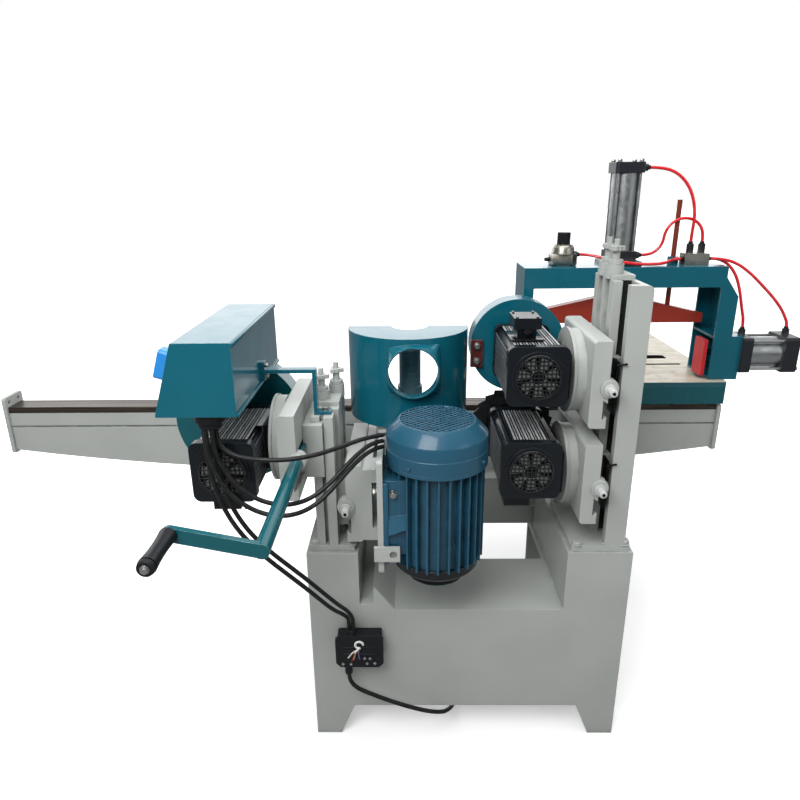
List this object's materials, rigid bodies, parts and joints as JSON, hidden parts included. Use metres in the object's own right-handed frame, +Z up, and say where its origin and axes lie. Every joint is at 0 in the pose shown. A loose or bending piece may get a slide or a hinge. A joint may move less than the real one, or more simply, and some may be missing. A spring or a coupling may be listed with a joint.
{
  "type": "tenoning machine",
  "caption": "Floor-standing tenoning machine: saw heads and a belt-driven spindle on two columns, with a rolling clamp table on a long rear rail.",
  "frame": {"origin": "on the floor, at the centre of the four anchor holes in the base's feet", "axes": "+Z up, +X along the rail towards the table's rest end, +Y away from the operator"},
  "size_m": [2.1631, 1.482, 1.343],
  "materials": {
    "grey_paint": "satin",
    "teal_paint": "satin",
    "blue_paint": "satin",
    "motor_black": "satin",
    "red_paint": "satin",
    "bright_steel": "ground",
    "guide_steel": "oiled",
    "cast_table": "satin",
    "tube_aluminium": "anodised",
    "cap_black": "moulded",
    "handle_blue": "moulded",
    "cable_black": "matt",
    "hose_red": "extruded",
    "belt_rubber": "matt"
  },
  "bodies": {
    "frame": {"base_frame": "grey_paint", "right_column": "grey_paint", "left_column": "grey_paint", "rail_beam": "grey_paint", "rail_guide": "guide_steel", "junction_box": "cap_black", "control_box": "teal_paint", "box_bracket": "teal_paint", "cable_gland": "cap_black", "control_leads": "cable_black", "supply_cable": "cable_black", "supply_coil": "cable_black"},
    "switch": {"switch_handle": "handle_blue"},
    "upper_lift": {"upper_lift_screw": "bright_steel"},
    "lower_lift": {"lower_lift_screw": "bright_steel"},
    "left_lift": {"left_lift_screw": "bright_steel"},
    "centre_lift": {"centre_lift_screw": "bright_steel"},
    "upper_carrier": {"upper_saddle": "grey_paint"},
    "upper_head": {"upper_slide": "grey_paint", "upper_motor": "motor_black", "saw_hood": "teal_paint"},
    "upper_feed": {"upper_feed_screw": "bright_steel"},
    "upper_saw": {"upper_rotor": "bright_steel", "upper_blade": "bright_steel"},
    "lower_carrier": {"lower_saddle": "grey_paint"},
    "lower_head": {"lower_slide": "grey_paint", "lower_motor": "motor_black"},
    "lower_feed": {"lower_feed_screw": "bright_steel"},
    "lower_saw": {"lower_rotor": "bright_steel", "lower_blade": "bright_steel"},
    "left_carrier": {"left_saddle": "grey_paint"},
    "left_head": {"left_slide": "grey_paint", "left_motor": "motor_black", "blade_guard": "teal_paint"},
    "left_crank": {"crank": "teal_paint"},
    "left_grip": {"crank_grip": "cap_black"},
    "left_saw": {"left_rotor": "bright_steel", "left_blade": "bright_steel"},
    "centre_carrier": {"centre_saddle": "grey_paint"},
    "centre_head": {"centre_slide": "grey_paint", "spindle_housing": "grey_paint", "cutter_hood": "teal_paint", "motor_plate": "grey_paint", "blue_motor": "blue_paint", "blue_motor_cover": "blue_paint", "drive_belt": "belt_rubber"},
    "centre_feed": {"centre_feed_screw": "bright_steel"},
    "spindle_shaft": {"spindle": "bright_steel", "spacer_rings": "bright_steel"},
    "motor_shaft": {"blue_rotor": "bright_steel"},
    "table": {"table_top": "cast_table", "table_carriage": "teal_paint", "guide_shoes": "guide_steel", "portal": "teal_paint", "air_cylinders": "tube_aluminium", "air_unit": "tube_aluminium", "air_hoses": "hose_red"},
    "clamp": {"clamp_beam": "red_paint"},
    "side_clamp": {"side_pad": "red_paint"},
    "pressure_knob": {"regulator_knob": "cap_black"}
  },
  "joints": [
    {"name": "upper_lift_slide", "type": "slide", "parent": "frame", "child": "upper_carrier", "axis": [0, 0, 1], "range_m": [-0.015, 0.06]},
    {"name": "upper_lift_turn", "type": "hinge", "parent": "frame", "child": "upper_lift", "pos_m": [0.2973, -0.1, 0.515], "axis": [0, 0, 1], "range_deg": [-1081, 4321]},
    {"name": "upper_feed_slide", "type": "slide", "parent": "upper_carrier", "child": "upper_head", "axis": [0, 1, 0], "range_m": [-0.01, 0.03]},
    {"name": "upper_feed_turn", "type": "hinge", "parent": "upper_head", "child": "upper_feed", "pos_m": [0.268, -0.215, 0.905], "axis": [0, 1, 0], "range_deg": [-721, 2161]},
    {"name": "lower_lift_slide", "type": "slide", "parent": "frame", "child": "lower_carrier", "axis": [0, 0, 1], "range_m": [-0.06, 0.015]},
    {"name": "lower_lift_turn", "type": "hinge", "parent": "frame", "child": "lower_lift", "pos_m": [0.2973, -0.05, 0.515], "axis": [0, 0, 1], "range_deg": [-4321, 1081]},
    {"name": "lower_feed_slide", "type": "slide", "parent": "lower_carrier", "child": "lower_head", "axis": [0, 1, 0], "range_m": [-0.03, 0.01]},
    {"name": "lower_feed_turn", "type": "hinge", "parent": "lower_head", "child": "lower_feed", "pos_m": [0.268, -0.215, 0.685], "axis": [0, 1, 0], "range_deg": [-2161, 721]},
    {"name": "left_lift_slide", "type": "slide", "parent": "frame", "child": "left_carrier", "axis": [0, 0, 1], "range_m": [-0.03, 0.01]},
    {"name": "left_lift_turn", "type": "hinge", "parent": "frame", "child": "left_lift", "pos_m": [-0.3267, -0.1, 0.515], "axis": [0, 0, 1], "range_deg": [-2161, 721]},
    {"name": "left_feed_slide", "type": "slide", "parent": "left_carrier", "child": "left_head", "axis": [0, 1, 0], "range_m": [0, 0.04]},
    {"name": "left_crank_turn", "type": "hinge", "parent": "left_head", "child": "left_crank", "pos_m": [-0.356, -0.295, 0.777], "axis": [0, 1, 0], "range_deg": [-1, 2881]},
    {"name": "centre_lift_slide", "type": "slide", "parent": "frame", "child": "centre_carrier", "axis": [0, 0, 1], "range_m": [-0.012, 0.01]},
    {"name": "centre_lift_turn", "type": "hinge", "parent": "frame", "child": "centre_lift", "pos_m": [-0.2993, -0.05, 0.515], "axis": [0, 0, 1], "range_deg": [-865, 721]},
    {"name": "centre_feed_slide", "type": "slide", "parent": "centre_carrier", "child": "centre_head", "axis": [0, 1, 0], "range_m": [-0.005, 0.02]},
    {"name": "centre_feed_turn", "type": "hinge", "parent": "centre_head", "child": "centre_feed", "pos_m": [-0.27, -0.215, 0.634], "axis": [0, 1, 0], "range_deg": [-361, 1441]},
    {"name": "crank_grip_spin", "type": "hinge", "parent": "left_crank", "child": "left_grip", "pos_m": [-0.493, -0.66, 0.806], "axis": [0, 1, 0], "continuous": true},
    {"name": "upper_saw_spin", "type": "hinge", "parent": "upper_head", "child": "upper_saw", "pos_m": [0.127, 0, 0.927], "axis": [0, 1, 0], "continuous": true},
    {"name": "lower_saw_spin", "type": "hinge", "parent": "lower_head", "child": "lower_saw", "pos_m": [0.118, 0, 0.734], "axis": [0, 1, 0], "continuous": true},
    {"name": "left_saw_spin", "type": "hinge", "parent": "left_head", "child": "left_saw", "pos_m": [-0.494, 0, 0.771], "axis": [0, 1, 0], "continuous": true},
    {"name": "motor_spin", "type": "hinge", "parent": "centre_head", "child": "motor_shaft", "pos_m": [-0.075, -0.22, 0.49], "axis": [0, 0, 1], "continuous": true},
    {"name": "spindle_spin", "type": "hinge", "parent": "centre_head", "child": "spindle_shaft", "pos_m": [-0.13, 0.045, 0.49], "axis": [0, 0, 1], "continuous": true},
    {"name": "table_slide", "type": "slide", "parent": "frame", "child": "table", "axis": [1, 0, 0], "range_m": [-1.33, 0]},
    {"name": "clamp_slide", "type": "slide", "parent": "table", "child": "clamp", "axis": [0, 0, 1], "range_m": [-0.11, 0]},
    {"name": "side_clamp_slide", "type": "slide", "parent": "table", "child": "side_clamp", "axis": [1, 0, 0], "range_m": [-0.05, 0]},
    {"name": "pressure_turn", "type": "hinge", "parent": "table", "child": "pressure_knob", "pos_m": [0.278, 0.285, 1.141], "axis": [0, 0, 1], "range_deg": [-150, 150]},
    {"name": "switch_turn", "type": "hinge", "parent": "frame", "child": "switch", "pos_m": [-0.56745, -0.288, 0.971], "axis": [-0.9535, 0, 0.3015], "range_deg": [0, 90]}
  ],
  "couplings": [
    {"joint": "upper_lift_turn", "follows": "upper_lift_slide", "rad_per_m": 1256.6},
    {"joint": "upper_feed_turn", "follows": "upper_feed_slide", "rad_per_m": 1256.6},
    {"joint": "lower_lift_turn", "follows": "lower_lift_slide", "rad_per_m": 1256.6},
    {"joint": "lower_feed_turn", "follows": "lower_feed_slide", "rad_per_m": 1256.6},
    {"joint": "left_lift_turn", "follows": "left_lift_slide", "rad_per_m": 1256.6},
    {"joint": "left_crank_turn", "follows": "left_feed_slide", "rad_per_m": 1256.6},
    {"joint": "centre_lift_turn", "follows": "centre_lift_slide", "rad_per_m": 1256.6},
    {"joint": "centre_feed_turn", "follows": "centre_feed_slide", "rad_per_m": 1256.6},
    {"joint": "spindle_spin", "follows": "motor_spin", "ratio": 2}
  ]
}
